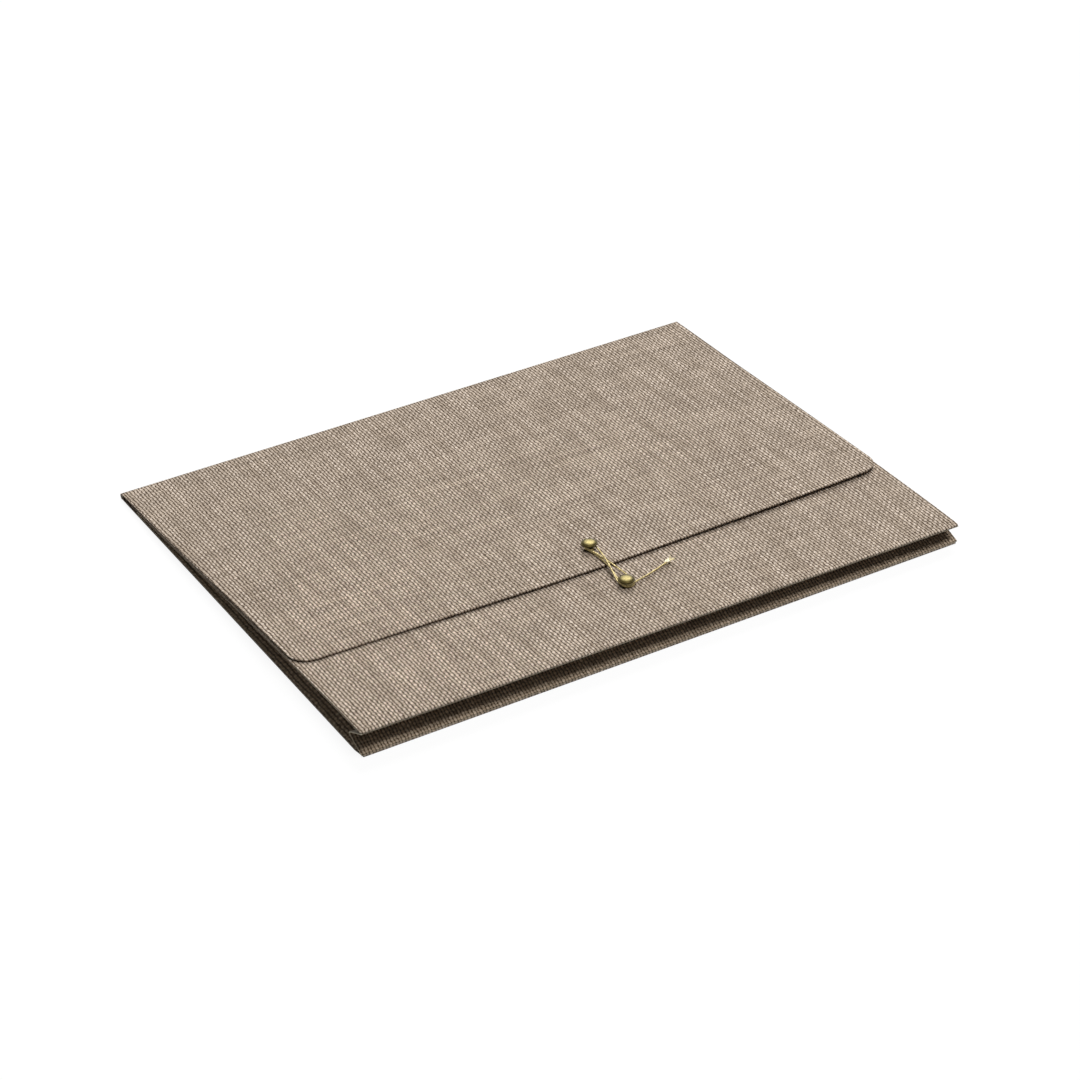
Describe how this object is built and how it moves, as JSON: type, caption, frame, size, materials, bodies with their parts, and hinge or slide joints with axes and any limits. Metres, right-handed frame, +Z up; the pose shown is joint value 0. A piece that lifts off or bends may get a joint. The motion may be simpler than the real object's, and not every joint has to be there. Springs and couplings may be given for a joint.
{
  "type": "document wallet",
  "caption": "Flat cloth covered card wallet for papers, with side and front bellows, a long hinged flap and a string tie wound on two domed studs.",
  "frame": {"origin": "on the table under the middle of the back panel", "axes": "+X along the width, +Y from the front edge to the mouth with its flap hinge, +Z up"},
  "size_m": [0.325, 0.245, 0.0157],
  "materials": {
    "cover_cloth": "coarse plain weave, matte",
    "bellows_cloth": "plain weave on scored card, matte",
    "lining_paper": "smooth uncoated paper",
    "brass": "polished, lightly rubbed",
    "gold_string": "twisted metallic thread"
  },
  "bodies": {
    "back": {"back_panel": "cover_cloth", "back_lining": "lining_paper", "front_bellows_lower": "bellows_cloth", "front_bellows_upper": "bellows_cloth", "left_bellows_lower": "bellows_cloth", "right_bellows_lower": "bellows_cloth", "flap_crease": "cover_cloth"},
    "front": {"front_panel": "cover_cloth", "front_lining": "lining_paper", "left_glue_tab": "bellows_cloth", "right_glue_tab": "bellows_cloth", "left_bellows_upper": "bellows_cloth", "right_bellows_upper": "bellows_cloth", "front_stud_head": "brass", "front_stud_post": "brass", "front_stud_washer": "brass"},
    "flap": {"flap": "cover_cloth", "flap_lining": "lining_paper", "flap_stud_head": "brass", "flap_stud_post": "brass", "flap_stud_washer": "brass", "string_hitch": "gold_string", "closing_string": "gold_string", "string_knot": "gold_string", "string_tuft": "gold_string"}
  },
  "joints": [
    {"name": "flap_fold", "type": "hinge", "parent": "back", "child": "flap", "pos_m": [0, 0.12087, 0.00163], "axis": [-1, 0, 0], "range_deg": [0, 175], "deforming": ["flap_crease", "closing_string"]},
    {"name": "mouth_gape", "type": "hinge", "parent": "back", "child": "front", "pos_m": [0, -0.1225, 0.0114], "axis": [1, 0, 0], "range_deg": [0, 5.47], "deforming": ["left_bellows_lower", "right_bellows_lower", "left_bellows_upper", "right_bellows_upper"]}
  ],
  "couplings": [
    {"joint": "mouth_gape", "follows": "flap_fold", "ratio": 0.03125}
  ]
}
